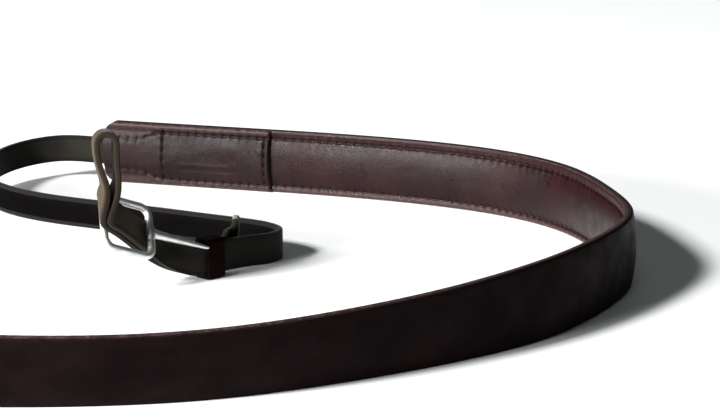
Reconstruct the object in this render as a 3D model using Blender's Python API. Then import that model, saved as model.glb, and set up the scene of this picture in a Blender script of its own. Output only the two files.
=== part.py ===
"""A leather camera neck strap, standing on its edge in an open loop: a wide padded band of two leathers, a sewn end
patch and a narrow adjusting strap at each end, and a wire buckle and a keeper on each narrow strap."""

import math

import bmesh
import bpy
import numpy as np
from mathutils import Matrix, Vector

# The plan of the loop, in metres: how far it reaches from side to side and from front to back.
SPAN = 0.420
DEPTH = 0.320

# The wide band.
BAND_WIDTH = 0.0255
OUTER_THICK = 0.0016
OUTER_RISE = 0.0012
LINING_THICK = 0.0012
PAD_RISE = 0.0014
MARGIN = 0.0036
END_RADIUS = 0.0055
EDGE_INSET = 0.0003

# The sewn patch over each end of the lining, and the root of the narrow strap under it.
PATCH_LENGTH = 0.0735
PATCH_THICK = 0.0014
ROOT_LENGTH = 0.024

# The narrow adjusting straps.
STRAP_WIDTH = 0.011
STRAP_THICK = 0.0020
LOOP_RISE = 0.045
LOOP_BORE = 0.0045
TAIL_LENGTH = 0.024

# The keepers and the wire buckles.
KEEPER_THICK = 0.0012
KEEPER_LENGTH = 0.008
WIRE = 0.0026
BUCKLE_LONG = 0.0185
BUCKLE_HIGH = 0.0195
BUCKLE_CORNER = 0.0035
BUCKLE_YAW = -14.0
BUCKLE_PITCH = 20.0
BUCKLE_ROLL = 40.0
TONGUE_ROOT = 0.0034
TONGUE_TIP = 0.0012

# Where the buckle's near bar stands, past the keeper and above the strap's middle, and how far up the strap's width the
# tongue's tip lies, as a share.
TONGUE_REACH = 0.0195
BUCKLE_LIFT = 0.0116
TONGUE_TIP_UP = 0.42

# The clearance that pieces keep from each other.
FIT = 0.0003

# The wide band's lower edge in plan, from end A round to end B. across is a share of SPAN, deep of DEPTH, and lean is
# how far the band's top tips outward, in degrees.
BAND_ROUTE = [
    # across, deep, lean
    (0.019, 0.515, 0),
    (0.090, 0.483, 0),
    (0.183, 0.442, 0),
    (0.269, 0.400, 0),
    (0.344, 0.351, 0),
    (0.402, 0.294, 0),
    (0.451, 0.205, 0),
    (0.478, 0.080, 0),
    (0.485, -0.050, 0),
    (0.454, -0.164, 0),
    (0.408, -0.261, 1),
    (0.340, -0.343, 12),
    (0.260, -0.411, 21),
    (0.150, -0.473, 27),
    (0.029, -0.489, 26),
    (-0.088, -0.480, 18),
    (-0.207, -0.451, 7),
    (-0.310, -0.392, 0),
]

# The narrow straps' lower edges in plan, from each end of the band to the keeper. low is a share of the height at which
# the strap leaves the middle of the band.
STRAP_ROUTE_A = [
    # across, deep, low
    (-0.031, 0.533, 0.95),
    (-0.074, 0.494, 0.72),
    (-0.089, 0.422, 0.45),
    (-0.080, 0.350, 0.20),
    (-0.043, 0.287, 0.04),
    (0.021, 0.231, 0.0),
    (0.083, 0.188, 0.0),
    (0.133, 0.150, 0.0),
    (0.164, 0.127, 0.0),
    (0.188, 0.105, 0.0),
    (0.201, 0.075, 0.0),
    (0.195, 0.048, 0.03),
    (0.177, 0.023, 0.12),
]
STRAP_ROUTE_B = [
    # across, deep, low
    (-0.374, -0.345, 0.85),
    (-0.436, -0.270, 0.55),
    (-0.483, -0.172, 0.25),
    (-0.500, -0.058, 0.05),
    (-0.479, 0.041, 0.0),
    (-0.429, 0.097, 0.0),
    (-0.383, 0.084, 0.03),
    (-0.354, 0.045, 0.12),
]

# Where each keeper stands in plan, and which way the strap runs through it, in degrees.
KEEPER_A = (0.148, -0.019, -133.0)
KEEPER_B = (-0.324, 0.003, -47.0)

# The doubled strap above the buckle, as shares of LOOP_RISE from the keeper: along the strap's run, to its front, and
# up. roll is how far its upper edge has turned away from the front, in degrees.
LOOP_ROUTE = [
    # along, front, up, roll
    (0.905, -0.060, 0.66, 68),
    (0.880, -0.075, 0.86, 84),
    (0.872, -0.085, 1.00, 90),
]

# How far the tail stands off the strap, as shares of TAIL_LENGTH, on from the keeper to its tip.
TAIL_ROUTE = [
    # on, off, lift
    (0.30, 0.02, 0.01),
    (0.60, 0.14, 0.10),
    (1.00, 0.42, 0.26),
]

# How far apart the sections along the wide band and the narrow straps stand, and the most that they turn between.
LEATHER_STEP = 0.011
NARROW_STEP = 0.0055
TURN_STEP = math.radians(17)


def clear_scene():
    for obj in list(bpy.data.objects):
        bpy.data.objects.remove(obj)


def material(name, color, roughness, metallic=0.0):
    made = bpy.data.materials.new(name)
    made.use_nodes = True
    shader = made.node_tree.nodes["Principled BSDF"]
    shader.inputs["Base Color"].default_value = (*color, 1)
    shader.inputs["Roughness"].default_value = roughness
    shader.inputs["Metallic"].default_value = metallic
    return made


def spline(rows, step=SPAN / 840):
    """Points along the natural cubic curve through the rows, whose first three columns are a place."""
    rows = np.array(rows, float)
    gaps = np.linalg.norm(np.diff(rows[:, :3], axis=0), axis=1)
    at = np.concatenate([[0], np.cumsum(gaps)])
    count = len(rows)
    left = np.zeros((count, count))
    right = np.zeros_like(rows)
    left[0, 0] = left[-1, -1] = 1
    for i in range(1, count - 1):
        left[i, i - 1 : i + 2] = gaps[i - 1], 2 * (gaps[i - 1] + gaps[i]), gaps[i]
        right[i] = 6 * ((rows[i + 1] - rows[i]) / gaps[i] - (rows[i] - rows[i - 1]) / gaps[i - 1])
    bend = np.linalg.solve(left, right)
    out = []
    for i, gap in enumerate(gaps):
        steps = max(2, math.ceil(gap / step))
        for k in range(steps + (i == count - 2)):
            b = k / steps
            a = 1 - b
            curve = ((a**3 - a) * bend[i] + (b**3 - b) * bend[i + 1]) * gap * gap / 6
            out.append(a * rows[i] + b * rows[i + 1] + curve)
    return np.array(out)


def directions(points):
    ahead = np.gradient(points[:, :3], axis=0)
    return ahead / np.linalg.norm(ahead, axis=1)[:, None]


def along(points):
    return np.concatenate([[0], np.cumsum(np.linalg.norm(np.diff(points[:, :3], axis=0), axis=1))])


def stations(points, uppers, step, extra=()):
    """Where the sections of a strip stand: closer where it bends, and at each extra length. Each is (place, up, out)."""
    ahead = directions(points)
    runs = along(points)
    turn = np.concatenate([[0], np.arccos(np.clip((ahead[1:] * ahead[:-1]).sum(1), -1, 1))])
    twist = np.concatenate([[0], np.arccos(np.clip((uppers[1:] * uppers[:-1]).sum(1), -1, 1))])
    effort = runs / step + np.cumsum(turn) / TURN_STEP + np.cumsum(twist) / (2 * TURN_STEP)
    wanted = np.linspace(0, effort[-1], max(3, round(effort[-1]) + 1))
    lengths = np.unique(np.concatenate([np.interp(wanted, effort, runs), list(extra)]))
    made = []
    for length in lengths:
        place = Vector([np.interp(length, runs, points[:, k]) for k in range(3)])
        run = Vector([np.interp(length, runs, ahead[:, k]) for k in range(3)]).normalized()
        up = Vector([np.interp(length, runs, uppers[:, k]) for k in range(3)])
        up = (up - run * up.dot(run)).normalized()
        made.append((float(length), place, up, up.cross(run)))
    return made


def loft(name, rings, finish, floor=False):
    """A closed solid through rings of equally many points."""
    mesh = bmesh.new()
    rows = [[mesh.verts.new(point) for point in ring] for ring in rings]
    count = len(rows[0])
    for first, second in zip(rows, rows[1:]):
        for i in range(count):
            j = (i + 1) % count
            mesh.faces.new((first[i], first[j], second[j], second[i]))
    mesh.faces.new(rows[0][::-1])
    mesh.faces.new(rows[-1])
    bmesh.ops.recalc_face_normals(mesh, faces=mesh.faces)
    if floor:
        for vert in mesh.verts:
            vert.co.z = max(vert.co.z, 0.0)
    data = bpy.data.meshes.new(name)
    mesh.to_mesh(data)
    mesh.free()
    return add(name, data, finish)


def add(name, data, finish):
    obj = bpy.data.objects.new(name, data)
    bpy.context.scene.collection.objects.link(obj)
    data.materials.append(finish)
    data.shade_smooth()
    data.set_sharp_from_angle(angle=math.radians(40))
    return obj


def plan(across, deep, height=0.0):
    return (across * SPAN, deep * DEPTH, height)


def ring_of(station, outline):
    _, place, up, out = station
    return [place + out * x + up * y for x, y in outline]


def end_trim(length, total):
    """How much narrower each edge of the band is near its rounded ends."""
    left = END_RADIUS - min(length, total - length, END_RADIUS)
    return END_RADIUS - math.sqrt(max(END_RADIUS**2 - left**2, 0))


class Band:
    """The wide band's path: places along its lower edge, with the line between outer and lining at out = 0."""

    def __init__(self):
        rows = [(*plan(across, deep), lean) for across, deep, lean in BAND_ROUTE]
        self.points = spline(rows)
        ahead = directions(self.points)
        tip = np.radians(self.points[:, 3])
        outward = np.stack([-ahead[:, 1], ahead[:, 0], np.zeros(len(ahead))], axis=1)
        self.uppers = outward * np.sin(tip)[:, None] + np.array([0, 0, 1.0]) * np.cos(tip)[:, None]
        self.length = float(along(self.points)[-1])

    def stations(self, start, end, step=LEATHER_STEP):
        """Sections from start to end, with a few more round each rounded corner of the band's ends."""
        corner = [END_RADIUS * (1 - math.cos(math.radians(a))) for a in (20, 45, 70, 90)]
        extra = [start, end] + corner + [self.length - c for c in corner]
        found = stations(self.points, self.uppers, step, extra)
        return [s for s in found if start - 1e-9 <= s[0] <= end + 1e-9]


def band_edges(length, total, inset=0.0):
    trim = end_trim(length, total) + inset
    return trim, BAND_WIDTH - trim


def outer_face(low, high):
    """Points across the outer leather's face, from its lower to its upper edge, as (out, height). Its middle stands
    proud over soft padding, and its two long edges are rounded."""
    edge = OUTER_THICK * 0.3
    heights = [low, low + edge] + [share * BAND_WIDTH for share in (0.27, 0.5, 0.73)] + [high - edge, high]
    kept = [min(max(height, low), high) for height in heights]
    face = [(OUTER_THICK + OUTER_RISE * (1 - (2 * height / BAND_WIDTH - 1) ** 2), height) for height in kept]
    face[0] = (face[0][0] - edge, low)
    face[-1] = (face[-1][0] - edge, high)
    return face


def outer_band(band, finish):
    """The smooth outer leather."""
    rings = []
    for station in band.stations(0, band.length):
        low, high = band_edges(station[0], band.length)
        rings.append(ring_of(station, [(0, low)] + outer_face(low, high) + [(0, high)]))
    return loft("outer_band", rings, finish, floor=True)


def lining_thickness(height):
    """The lining's thickness at a height across the band: a flat margin each side of a padded, crowned panel."""
    from_edge = min(height, BAND_WIDTH - height) - EDGE_INSET
    if from_edge < MARGIN * 0.3:
        return LINING_THICK * (0.75 + 0.25 * max(from_edge, 0) / (MARGIN * 0.3))
    share = min(max((height - MARGIN) / (BAND_WIDTH - 2 * MARGIN), 0), 1)
    return LINING_THICK + PAD_RISE * (1 - (2 * share - 1) ** 4)


def lining_face(low, high):
    """Points across the lining's face, from its lower to its upper edge, as (thickness, height)."""
    edge = EDGE_INSET + MARGIN * 0.3
    panel = [MARGIN + share * (BAND_WIDTH - 2 * MARGIN) for share in (0.0, 0.07, 0.22, 0.5, 0.78, 0.93, 1.0)]
    heights = [EDGE_INSET, edge, *panel, BAND_WIDTH - edge, BAND_WIDTH - EDGE_INSET]
    apart = FIT / 3
    last = len(heights) - 1
    kept = [min(max(height, low + i * apart), high - (last - i) * apart) for i, height in enumerate(heights)]
    return [(lining_thickness(height), height) for height in kept]


def lining_band(band, finish):
    """The padded lining, slotted at both ends for the narrow straps' roots."""
    rings = []
    for station in band.stations(0, band.length):
        low, high = band_edges(station[0], band.length, EDGE_INSET)
        face = [(-FIT - thick, height) for thick, height in lining_face(low, high)]
        rings.append(ring_of(station, [(-FIT, high), (-FIT, low)] + face))
    lining = loft("lining_band", rings, finish, floor=True)
    for end, start, stop in (("a", -FIT, ROOT_LENGTH), ("b", band.length - ROOT_LENGTH, band.length + FIT)):
        cutter = slot_cutter(band, f"cut_{end}", start, stop, finish)
        cut = lining.modifiers.new(f"slot_{end}", "BOOLEAN")
        cut.operation = "DIFFERENCE"
        cut.object = cutter
    return lining


def slot_cutter(band, name, start, stop, finish):
    """A strip that leaves room for a narrow strap's root through the whole lining, from inside it to past its end."""
    half = STRAP_WIDTH / 2 + FIT
    middle = BAND_WIDTH / 2
    deep = 2 * (LINING_THICK + PAD_RISE)
    outline = [(FIT, middle - half), (FIT, middle + half), (-deep, middle + half), (-deep, middle - half)]
    start, stop = max(start, 0), min(stop, band.length)
    found = stations(band.points, band.uppers, LEATHER_STEP * 0.37, [start, stop])
    found = [s for s in found if start - 1e-9 <= s[0] <= stop + 1e-9]
    rings = [ring_of(station, outline) for station in found]
    end, inner = (0, 1) if start == 0 else (-1, -2)
    away = (found[end][1] - found[inner][1]).normalized() * STRAP_THICK
    rings[end] = [point + away for point in rings[end]]
    cutter = loft(name, rings, finish)
    cutter.hide_render = True
    cutter.display_type = "WIRE"
    return cutter


def patch(band, name, start, stop, finish):
    """The folded leather patch over an end of the lining, following its padded face."""
    rings = []
    for station in band.stations(start, stop):
        low, high = band_edges(station[0], band.length, EDGE_INSET)
        face = lining_face(low, high)
        under = [(-2.4 * FIT - thick, height) for thick, height in face]
        over = [(x - PATCH_THICK, height) for x, height in under]
        rings.append(ring_of(station, under + over[::-1]))
    return loft(name, rings, finish, floor=True)


class Strap:
    """A narrow strap's path, from its root in the band to the tip of its tail, with its buckle and keeper."""

    def __init__(self, band, end, route, keeper, side):
        # side is +1 where the strap's front lies to the left of its run, and -1 where it lies to the right.
        self.side = side
        across, deep, heading = keeper
        self.keeper_low = KEEPER_THICK + FIT
        self.keeper = Vector(plan(across, deep, self.keeper_low + STRAP_WIDTH / 2))
        turn = math.radians(heading)
        self.run = Vector((math.cos(turn), math.sin(turn), 0))
        self.front = Vector((-self.run.y, self.run.x, 0)) * side
        self.pitch = STRAP_THICK + FIT
        self.place_buckle()
        self.lay(band, end, route)

    def local(self, along_run, to_front, up):
        return self.keeper + self.run * along_run + self.front * to_front + Vector((0, 0, up))

    def place_buckle(self):
        """The buckle's frame is rolled back, pitched up and turned a little across the strap's run."""
        yaw, pitch, roll = (math.radians(a) for a in (BUCKLE_YAW, BUCKLE_PITCH, BUCKLE_ROLL))
        ahead = self.run * math.cos(yaw) + self.front * math.sin(yaw)
        ahead = ahead * math.cos(pitch) + Vector((0, 0, math.sin(pitch)))
        upright = (Vector((0, 0, 1)) - ahead * ahead.z).normalized()
        face = (self.front - ahead * self.front.dot(ahead) - upright * self.front.dot(upright)).normalized()
        self.buckle_ahead = ahead
        self.buckle_up = upright * math.cos(roll) - face * math.sin(roll)
        self.buckle_face = face * math.cos(roll) + upright * math.sin(roll)
        clear = WIRE / 2 + 2.5 * FIT
        near = KEEPER_LENGTH / 2 + FIT + TONGUE_REACH
        self.bar = self.local(near * math.cos(yaw), near * math.sin(yaw), BUCKLE_LIFT)
        # The strap passes behind the near bar and in front of the far one.
        self.behind_bar = self.bar - self.buckle_face * (STRAP_THICK / 2 + clear)
        far_bar = self.bar + ahead * BUCKLE_LONG
        self.past_bar = far_bar + self.buckle_face * (self.pitch + STRAP_THICK / 2 + clear)
        self.crossing = (self.past_bar - self.behind_bar).normalized()

    def lay(self, band, end, route):
        """Places and upper directions down the middle of the strap."""
        reach = ROOT_LENGTH - FIT
        if end == "a":
            inner = band.stations(0, reach)[::-1]
        else:
            inner = band.stations(band.length - reach, band.length)
        lift = (BAND_WIDTH - STRAP_WIDTH) / 2
        middle = FIT + STRAP_THICK / 2
        rows = [(*(place - out * middle + up * BAND_WIDTH / 2), *up) for _, place, up, out in inner]
        for across, deep, low in route:
            rows.append((*plan(across, deep, low * lift + STRAP_WIDTH / 2), 0, 0, 1))
        for share in (-0.6, 0.0, 0.6):
            rows.append((*(self.keeper + self.run * share * KEEPER_LENGTH), 0, 0, 1))
        for bar in (self.behind_bar, self.past_bar):
            for share in (-0.5, 0.5):
                rows.append((*(bar + self.crossing * share * WIRE), *self.buckle_up))
        for along_run, to_front, up, roll in LOOP_ROUTE:
            place = self.local(along_run * LOOP_RISE, to_front * LOOP_RISE, up * LOOP_RISE)
            rows.append((*place, *self.loop_up(roll)))
        path = spline(rows)
        runs = along(path)
        keeper_at = runs[np.linalg.norm(path[:, :3] - np.array(self.keeper), axis=1).argmin()]
        buckle_at = runs[np.linalg.norm(path[:, :3] - np.array(self.past_bar), axis=1).argmin()]
        self.fold(path, runs, keeper_at, buckle_at)

    def loop_up(self, roll):
        """The direction of the strap's upper edge above the buckle, which has turned to lie nearly level."""
        back = (self.buckle_up - Vector((0, 0, self.buckle_up.z))).normalized()
        turn = math.radians(roll)
        return Vector((0, 0, 1)) * math.cos(turn) + back * math.sin(turn)

    def fold(self, path, runs, keeper_at, buckle_at):
        """Adds the turn over the ring of the camera, and the tail back down behind the strap to its tip."""
        ahead = directions(path)
        ups = path[:, 3:6]
        ups = ups - ahead * (ups * ahead).sum(1)[:, None]
        ups /= np.linalg.norm(ups, axis=1)[:, None]
        fronts = np.cross(ups, ahead) * self.side
        total = runs[-1]
        apart = LOOP_BORE + STRAP_THICK
        radius = apart / 2
        centre = path[-1, :3] - fronts[-1] * radius
        places, uppers = [path[:, :3]], [ups]
        for angle in np.linspace(0, math.pi, 13)[1:-1]:
            places.append([centre + fronts[-1] * radius * math.cos(angle) + ahead[-1] * radius * math.sin(angle)])
            uppers.append([ups[-1]])
        tip_at = keeper_at - TAIL_LENGTH
        tail = [i for i in range(len(runs) - 1, -1, -1) if runs[i] >= tip_at]
        off_runs = [tip_at] + [keeper_at - on * TAIL_LENGTH for on, _, _ in TAIL_ROUTE[-2::-1]]
        off_gaps = [self.pitch + off * TAIL_LENGTH for _, off, _ in TAIL_ROUTE[::-1]]
        lifts = [lift * TAIL_LENGTH for _, _, lift in TAIL_ROUTE[::-1]]
        steady = [keeper_at - KEEPER_LENGTH / 2, buckle_at]
        gaps = eased(off_runs + steady + [total], off_gaps + [self.pitch, self.pitch, apart], runs)
        raised = eased(off_runs + steady + [total], lifts + [0, 0, 0], runs)
        behind = [path[i, :3] - fronts[i] * gaps[i] + np.array([0, 0, raised[i]]) for i in tail]
        places.append(behind)
        uppers.append([ups[i] for i in tail])
        self.places = np.concatenate([np.array(p) for p in places])
        self.uppers = np.concatenate([np.array(u) for u in uppers])

    def solid(self, name, finish):
        """The strap itself, a flat strip with slightly rounded edges."""
        edge = STRAP_THICK * 0.25
        half, flat = STRAP_WIDTH / 2, STRAP_THICK / 2
        outline = [
            (-flat, -half + edge),
            (-flat + edge, -half),
            (flat - edge, -half),
            (flat, -half + edge),
            (flat, half - edge),
            (flat - edge, half),
            (-flat + edge, half),
            (-flat, half - edge),
        ]
        rings = [ring_of(s, outline) for s in stations(self.places, self.uppers, NARROW_STEP)]
        return loft(name, rings, finish, floor=True)


def eased(at, values, wanted):
    """Values eased from each knot to the next, and level at every knot."""
    out = []
    for x in wanted:
        i = min(max(int(np.searchsorted(at, x)) - 1, 0), len(at) - 2)
        share = min(max((x - at[i]) / (at[i + 1] - at[i]), 0.0), 1.0)
        out.append(values[i] + (values[i + 1] - values[i]) * share * share * (3 - 2 * share))
    return out


def keeper(strap, name, finish):
    """A leather sleeve round both layers of the strap."""
    inner_front = STRAP_THICK / 2 + FIT
    inner_back = -(strap.pitch + STRAP_THICK / 2 + FIT)
    half = STRAP_WIDTH / 2 + FIT
    front, back = inner_front + KEEPER_THICK, inner_back - KEEPER_THICK
    outer_half = half + KEEPER_THICK
    corner = KEEPER_THICK * 0.6
    outer = [
        (back + corner, -outer_half),
        (front - corner, -outer_half),
        (front, -outer_half + corner),
        (front, outer_half - corner),
        (front - corner, outer_half),
        (back + corner, outer_half),
        (back, outer_half - corner),
        (back, -outer_half + corner),
    ]
    inner = [
        (inner_back, -half),
        (inner_front, -half),
        (inner_front, -half),
        (inner_front, half),
        (inner_front, half),
        (inner_back, half),
        (inner_back, half),
        (inner_back, -half),
    ]
    mesh = bmesh.new()
    loops = []
    for outline, shift in ((outer, -1), (outer, 1), (inner, 1), (inner, -1)):
        along_run = shift * KEEPER_LENGTH / 2
        points = [strap.keeper + strap.run * along_run + strap.front * x + Vector((0, 0, y)) for x, y in outline]
        loops.append([mesh.verts.new(p) for p in points])
    for first, second in zip(loops, loops[1:] + loops[:1]):
        for i in range(len(first)):
            j = (i + 1) % len(first)
            mesh.faces.new((first[i], first[j], second[j], second[i]))
    bmesh.ops.remove_doubles(mesh, verts=mesh.verts, dist=1e-7)
    bmesh.ops.recalc_face_normals(mesh, faces=mesh.faces)
    data = bpy.data.meshes.new(name)
    mesh.to_mesh(data)
    mesh.free()
    return add(name, data, finish)


def tube(centres, radii, closed, sides=11):
    """Rings of points round a line of centres."""
    centres = [Vector(c) for c in centres]
    count = len(centres)
    rings = []
    guide = None
    for i, centre in enumerate(centres):
        before = centres[i - 1] if closed or i else centres[i]
        after = centres[(i + 1) % count] if closed or i < count - 1 else centres[i]
        run = (after - before).normalized()
        if guide is None:
            guide = run.orthogonal()
        guide = (guide - run * guide.dot(run)).normalized()
        other = run.cross(guide)
        turns = [2 * math.pi * k / sides for k in range(sides)]
        rings.append([centre + (guide * math.cos(t) + other * math.sin(t)) * radii[i] for t in turns])
    return rings


def ring_mesh(name, rings, closed):
    mesh = bmesh.new()
    rows = [[mesh.verts.new(p) for p in ring] for ring in rings]
    pairs = list(zip(rows, rows[1:]))
    if closed:
        pairs.append((rows[-1], rows[0]))
    else:
        mesh.faces.new(rows[0][::-1])
        mesh.faces.new(rows[-1])
    for first, second in pairs:
        for i in range(len(first)):
            j = (i + 1) % len(first)
            mesh.faces.new((first[i], first[j], second[j], second[i]))
    bmesh.ops.recalc_face_normals(mesh, faces=mesh.faces)
    data = bpy.data.meshes.new(name)
    mesh.to_mesh(data)
    mesh.free()
    return data


def frame_line(strap):
    """The centre line of the buckle's wire: a rectangle with round corners, from its near bar."""
    flat = Matrix((strap.buckle_ahead, strap.buckle_up, strap.buckle_face)).transposed()
    half = BUCKLE_HIGH / 2
    r = BUCKLE_CORNER
    corners = [
        (BUCKLE_LONG - r, half - r, 0),
        (r, half - r, 90),
        (r, -half + r, 180),
        (BUCKLE_LONG - r, -half + r, 270),
    ]
    points = []
    for x, y, start in corners:
        for k in range(6):
            turn = math.radians(start + 18 * k)
            points.append(strap.bar + flat @ Vector((x + r * math.cos(turn), y + r * math.sin(turn), 0)))
    return points


def buckle(strap, name, finish):
    """The wire frame with its tongue soldered to the near bar, its tip lying on the strap by the keeper."""
    line = frame_line(strap)
    frame = add(name, ring_mesh(name, tube(line, [WIRE / 2] * len(line), True), True), finish)
    tip_front = STRAP_THICK / 2 + FIT + TONGUE_TIP / 2 + KEEPER_THICK
    tip = strap.local(KEEPER_LENGTH / 2 + FIT, tip_front, STRAP_WIDTH * TONGUE_TIP_UP)
    shares = [0.0, 0.25, 0.55, 0.85, 1.0]
    centres = [strap.bar.lerp(tip, share) for share in shares]
    radii = [(TONGUE_ROOT + (TONGUE_TIP - TONGUE_ROOT) * share) / 2 for share in shares]
    radii[-1] *= 0.5
    rod = add(f"{name}_tongue", ring_mesh(f"{name}_tongue", tube(centres, radii, False), False), finish)
    rod.hide_render = True
    rod.display_type = "WIRE"
    join = frame.modifiers.new("tongue", "BOOLEAN")
    join.operation = "UNION"
    join.object = rod
    return frame


def centre_model(objects):
    """Moves everything so that the bounding box stands on z = 0 with its middle at the origin."""
    corners = [obj.matrix_world @ Vector(c) for obj in objects if not obj.hide_render for c in obj.bound_box]
    low = Vector([min(c[k] for c in corners) for k in range(3)])
    high = Vector([max(c[k] for c in corners) for k in range(3)])
    shift = Vector(((low.x + high.x) / 2, (low.y + high.y) / 2, low.z))
    for obj in objects:
        obj.location -= shift


def main():
    clear_scene()
    smooth = material("outer_leather", (0.028, 0.014, 0.014), 0.42)
    lining = material("lining_leather", (0.070, 0.026, 0.026), 0.45)
    suede = material("strap_leather", (0.045, 0.028, 0.020), 0.60)
    metal = material("nickel", (0.75, 0.75, 0.74), 0.22, 1.0)
    band = Band()
    outer_band(band, smooth)
    lining_band(band, lining)
    patch(band, "end_patch_a", 0, PATCH_LENGTH, lining)
    patch(band, "end_patch_b", band.length - PATCH_LENGTH, band.length, lining)
    for end, route, place, side in (("a", STRAP_ROUTE_A, KEEPER_A, 1), ("b", STRAP_ROUTE_B, KEEPER_B, -1)):
        strap = Strap(band, end, route, place, side)
        strap.solid(f"narrow_strap_{end}", suede)
        keeper(strap, f"keeper_{end}", lining)
        buckle(strap, f"buckle_{end}", metal)
    centre_model(list(bpy.data.objects))


main()
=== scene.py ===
import math

import bmesh
import bpy
import numpy as np
from mathutils import Matrix, Vector


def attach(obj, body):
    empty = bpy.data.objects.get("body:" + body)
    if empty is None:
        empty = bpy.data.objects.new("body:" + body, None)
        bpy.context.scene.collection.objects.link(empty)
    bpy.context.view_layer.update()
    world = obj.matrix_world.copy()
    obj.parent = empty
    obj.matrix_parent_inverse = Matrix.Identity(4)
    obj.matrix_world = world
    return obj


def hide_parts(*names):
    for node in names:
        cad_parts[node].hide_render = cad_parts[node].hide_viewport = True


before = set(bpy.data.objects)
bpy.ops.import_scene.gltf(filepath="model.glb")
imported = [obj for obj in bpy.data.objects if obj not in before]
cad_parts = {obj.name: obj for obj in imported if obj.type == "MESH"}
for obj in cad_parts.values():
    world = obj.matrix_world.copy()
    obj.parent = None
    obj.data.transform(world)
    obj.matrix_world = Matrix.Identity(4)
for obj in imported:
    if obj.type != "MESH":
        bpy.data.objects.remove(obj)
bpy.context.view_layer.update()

# Named sizes of the strap, in metres, the same as in the part's own source. Yaw, pitch and roll are degrees.
SPAN = 0.420
DEPTH = 0.320
BAND_WIDTH = 0.0255
OUTER_THICK = 0.0016
OUTER_RISE = 0.0012
LINING_THICK = 0.0012
PAD_RISE = 0.0014
MARGIN = 0.0036
END_RADIUS = 0.0055
EDGE_INSET = 0.0003
PATCH_LENGTH = 0.0735
PATCH_THICK = 0.0014
ROOT_LENGTH = 0.024
STRAP_WIDTH = 0.011
STRAP_THICK = 0.0020
LOOP_RISE = 0.045
LOOP_BORE = 0.0045
TAIL_LENGTH = 0.024
KEEPER_THICK = 0.0012
KEEPER_LENGTH = 0.008
WIRE = 0.0026
BUCKLE_LONG = 0.0185
BUCKLE_HIGH = 0.0195
BUCKLE_CORNER = 0.0035
BUCKLE_YAW = -14.0
BUCKLE_PITCH = 20.0
BUCKLE_ROLL = 40.0
TONGUE_ROOT = 0.0034
TONGUE_TIP = 0.0012
TONGUE_REACH = 0.0195
BUCKLE_LIFT = 0.0116
TONGUE_TIP_UP = 0.42
FIT = 0.0003

# The plan of the tables is moved by this much to stand in the middle of the part's frame.
SHIFT = np.array([0.0019364, -0.0011933, 0.0])

# Sizes that only the looks use: first the stitches and the rows that they run in.
STITCH_PITCH = 0.0038
STITCH_LONG = 0.0027
STITCH_SLANT = 0.00015
THREAD_RADIUS = 0.00034
THREAD_SUNK = 0.00022
STITCH_LOW = 0.0027
STITCH_HIGH = BAND_WIDTH - 0.0034
PATCH_ROW = 0.0025
PATCH_CROSS = 0.0470
ROWS_CLOSE = 0.0032
ROWS_CLOSE_OVER = 0.012
# The groove that a row draws into the leather, and the puckers beside it.
GROOVE_DEEP = 0.00056
GROOVE_HALF = 0.00052
PUCKER_HIGH = 0.00040
PUCKER_REACH = 0.0013
# The lining's crown, its edge and the low ridge outside its stitches.
CROWN_POWER = 2.3
THIN_EDGE = 0.75
RIDGE_HIGH = 0.00024
RIDGE_IN = 0.0009
RIDGE_HALF = 0.0005
# The outer leather's turned edge, and how far in from it the padding waves in full.
EDGE_TURN = 0.0009
WAVE_IN = 0.004
# The patch's folded end with its lip, its lowered long edges, its crease and the wrinkles at its corners.
PATCH_BASE = 1.7 * FIT
PATCH_LET_DOWN = 0.0003
FOLD_RADIUS = 0.0009
LIP_HIGH = 0.00030
LIP_IN = 0.0012
LIP_HALF = 0.0006
EDGE_DROP = 0.0005
EDGE_DROP_WIDE = 0.0010
CREASE_HIGH = 0.00045
CORNER_HIGH = 0.00010
CORNER_REACH = 0.006
# The narrow strap's rounded edge, pressed line, blunt tip, and the length at its cut end that is painted
# pale: a painted highlight over the cut leather's tone.
STRAP_EDGE = 0.0006
PRESSED_LINE = 0.00016
BLUNT_TIP = 0.0030
PALE_TIP = 0.0045
# The collar of solder round the buckle's near bar.
COLLAR_HALF = 0.0028
COLLAR_RISE = 0.00042
FLOOR_SIZE = 6.0
SHARP_ANGLE = math.radians(50)

# The unevenness of each leather.
LINING_WAVES = [
    # high, cell along, cell across, seed
    (0.00014, 0.014, 0.008, 11),
    (0.00003, 0.0035, 0.0030, 12),
]
OUTER_WAVES = [(0.00025, 0.030, 0.020, 21), (0.00007, 0.008, 0.010, 22)]
PATCH_WAVES = [(0.00022, 0.012, 0.007, 31), (0.00008, 0.004, 0.003, 32)]
STRAP_WAVES = [(0.00010, 0.009, 0.006, 41)]

# The camera: its lens and film in millimetres, its place and its tilt.
CAMERA_LENS = 114.55
CAMERA_FILM = 36.0
CAMERA_ACROSS = 0.1129713
CAMERA_BACK = -0.772936
CAMERA_HIGH = 0.188
CAMERA_TILT = math.radians(78.0)

# Colours painted on the leather: painted shade in its needle holes and in the corner under a fold, and a
# painted reflection of the floor that pales its lower edge.
HOLE_PAINTED_SHADE = (0.0006, 0.0003, 0.0003)
PAINTED_STEP_SHADE = (0.0012, 0.0006, 0.0006)
PAINTED_FLOOR_REFLECTION = (0.060, 0.034, 0.032)

# The key lights the floor evenly from far off. The two low panels at the left give the lining its sheen.
WHITE = (1, 1, 1)
GREENISH = (0.92, 1.0, 0.97)
PALE_GREEN = (0.88, 1.0, 0.96)
LIGHTS = [
    # name, place, aim, size, watts, colour
    ("key", (-7.80, -6.70, 6.40), (0.05, 0.1, 0.0), (1.84, 1.84), 3150, WHITE),
    ("high_front", (0.15, -0.75, 1.05), (0.08, 0.1, 0.0), (0.7, 0.3), 1.0, GREENISH),
    ("low_left", (-1.30, -1.55, 0.52), (0.10, 0.13, 0.015), (0.6, 0.25), 42, WHITE),
    ("side_left", (-1.75, -0.50, 0.36), (0.15, 0.11, 0.015), (0.9, 0.25), 46, WHITE),
    ("behind", (0.3, 1.9, 1.2), (0.0, 0.0, 0.0), (1.6, 0.8), 1.5, WHITE),
]

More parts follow.
